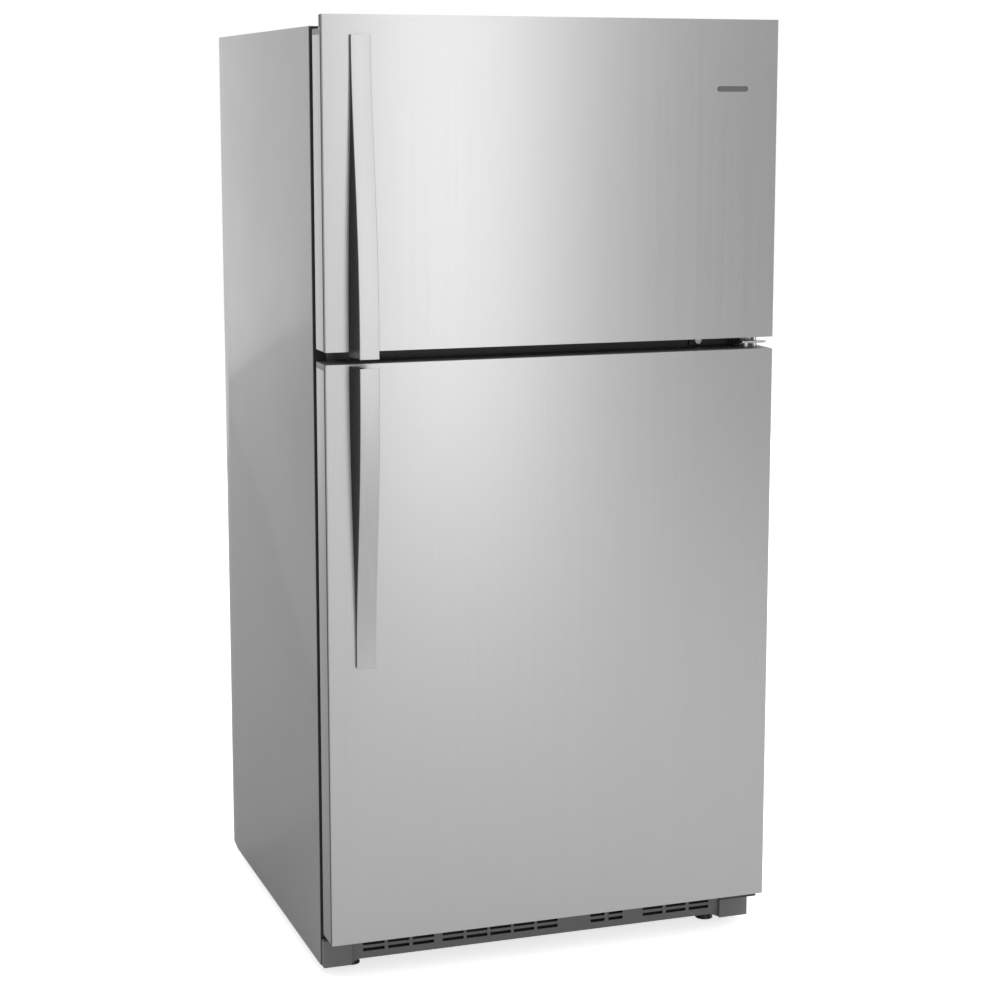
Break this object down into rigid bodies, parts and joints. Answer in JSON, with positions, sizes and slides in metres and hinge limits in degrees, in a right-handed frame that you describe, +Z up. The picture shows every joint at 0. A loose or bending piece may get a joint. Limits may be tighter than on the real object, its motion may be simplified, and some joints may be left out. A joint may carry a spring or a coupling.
{
  "type": "top freezer refrigerator",
  "caption": "Two-door household refrigerator with the freezer on top, brushed steel doors hinged on the right, curved bar handles, glass shelves, drawers and door bins.",
  "frame": {"origin": "on the floor, under the middle of the overall box, handles included", "axes": "+Z up, doors facing -Y, +X towards the hinges"},
  "size_m": [0.832, 0.832, 1.683],
  "materials": {
    "cabinet_paint": "grey enamel, fine orange peel",
    "galvanised": "galvanised sheet",
    "dark_plastic": "moulded black",
    "grille_plastic": "moulded dark grey, fine grain",
    "white_liner": "vacuum-formed white",
    "foam": "foamed-in insulation",
    "stainless": "brushed stainless, satin",
    "handle_steel": "brushed stainless, upright grain",
    "cap_plastic": "moulded mid grey",
    "gasket_rubber": "dark flexible seal",
    "zinc_plate": "zinc-plated",
    "white_wire": "white coated wire",
    "white_plastic": "moulded white",
    "shelf_glass": "tempered",
    "clear_plastic": "clear moulded",
    "coil_aluminium": "mill finish",
    "fan_plastic": "moulded black",
    "motor_steel": "laminated steel",
    "black_enamel": "black enamel",
    "leg_plastic": "moulded black",
    "roller_plastic": "moulded dark grey"
  },
  "bodies": {
    "cabinet": {"cabinet_shell": "cabinet_paint", "back_panel": "galvanised", "machine_cover": "galvanised", "mullion_rail": "dark_plastic", "freezer_liner": "white_liner", "fridge_liner": "white_liner", "insulation_sides": "foam", "insulation_roof": "foam", "insulation_back": "foam", "insulation_mullion": "foam", "insulation_floor": "foam", "base_pan": "galvanised", "toe_grille": "grille_plastic", "top_hinge": "zinc_plate", "hinge_cover": "cap_plastic", "center_hinge": "zinc_plate", "bottom_hinge": "black_enamel", "hinge_screws": "zinc_plate", "freezer_shelf": "white_wire", "shelf_frames": "white_plastic", "shelf_glasses": "shelf_glass", "control_housing": "white_plastic", "lamp_cover": "clear_plastic", "evaporator_cover": "white_plastic", "evaporator_coil": "coil_aluminium", "evaporator_fan_motor": "motor_steel", "compressor": "black_enamel", "condenser_coil": "black_enamel", "condenser_fan_motor": "motor_steel", "drain_pan": "dark_plastic", "cord_gland": "dark_plastic", "roller_brackets": "galvanised"},
    "freezer_door": {"freezer_door_skin": "stainless", "freezer_door_foam": "foam", "freezer_door_liner": "white_liner", "freezer_door_caps": "cap_plastic", "freezer_gasket": "gasket_rubber", "freezer_handle": "handle_steel", "freezer_handle_grip": "dark_plastic", "freezer_bins": "clear_plastic"},
    "fridge_door": {"fridge_door_skin": "stainless", "fridge_door_foam": "foam", "fridge_door_liner": "white_liner", "fridge_door_caps": "cap_plastic", "fridge_gasket": "gasket_rubber", "fridge_handle": "handle_steel", "fridge_handle_grip": "dark_plastic", "fridge_bins": "clear_plastic", "dairy_bin": "clear_plastic"},
    "dairy_lid": {"dairy_lid": "clear_plastic"},
    "crisper_left": {"crisper_left": "clear_plastic"},
    "crisper_right": {"crisper_right": "clear_plastic"},
    "temperature_dial": {"temperature_dial": "white_plastic"},
    "leveling_leg_left": {"leveling_leg_left": "leg_plastic"},
    "leveling_leg_right": {"leveling_leg_right": "leg_plastic"},
    "rear_roller_left": {"rear_roller_left": "roller_plastic"},
    "rear_roller_right": {"rear_roller_right": "roller_plastic"},
    "evaporator_fan": {"evaporator_fan": "fan_plastic"},
    "condenser_fan": {"condenser_fan": "fan_plastic"}
  },
  "joints": [
    {"name": "freezer_door_hinge", "type": "hinge", "parent": "cabinet", "child": "freezer_door", "pos_m": [0.393, -0.338, 1.1135], "axis": [0, 0, 1], "range_deg": [0, 125]},
    {"name": "fridge_door_hinge", "type": "hinge", "parent": "cabinet", "child": "fridge_door", "pos_m": [0.393, -0.338, 1.1135], "axis": [0, 0, 1], "range_deg": [0, 125]},
    {"name": "dairy_lid_hinge", "type": "hinge", "parent": "fridge_door", "child": "dairy_lid", "pos_m": [0.193, -0.218, 0.9815], "axis": [1, 0, 0], "range_deg": [0, 80]},
    {"name": "crisper_left_slide", "type": "slide", "parent": "cabinet", "child": "crisper_left", "axis": [0, -1, 0], "range_m": [0, 0.2]},
    {"name": "crisper_right_slide", "type": "slide", "parent": "cabinet", "child": "crisper_right", "axis": [0, -1, 0], "range_m": [0, 0.2]},
    {"name": "temperature_dial_turn", "type": "hinge", "parent": "cabinet", "child": "temperature_dial", "pos_m": [0.095, -0.185, 1.0575], "axis": [0, -1, 0], "range_deg": [-135, 135]},
    {"name": "leveling_leg_left_screw", "type": "slide", "parent": "cabinet", "child": "leveling_leg_left", "axis": [0, 0, -1], "range_m": [0, 0.015]},
    {"name": "leveling_leg_right_screw", "type": "slide", "parent": "cabinet", "child": "leveling_leg_right", "axis": [0, 0, -1], "range_m": [0, 0.015]},
    {"name": "rear_roller_left_spin", "type": "hinge", "parent": "cabinet", "child": "rear_roller_left", "pos_m": [-0.35, 0.364, 0.02], "axis": [1, 0, 0], "continuous": true},
    {"name": "rear_roller_right_spin", "type": "hinge", "parent": "cabinet", "child": "rear_roller_right", "pos_m": [0.35, 0.364, 0.02], "axis": [1, 0, 0], "continuous": true},
    {"name": "evaporator_fan_spin", "type": "hinge", "parent": "cabinet", "child": "evaporator_fan", "pos_m": [0, 0.2925, 1.506], "axis": [0, 1, 0], "continuous": true},
    {"name": "condenser_fan_spin", "type": "hinge", "parent": "cabinet", "child": "condenser_fan", "pos_m": [-0.095, 0.323, 0.154], "axis": [1, 0, 0], "continuous": true}
  ],
  "couplings": [
    {"joint": "crisper_left_slide", "follows": "fridge_door_hinge", "m_per_rad": 0.09},
    {"joint": "crisper_right_slide", "follows": "fridge_door_hinge", "m_per_rad": 0.09}
  ]
}
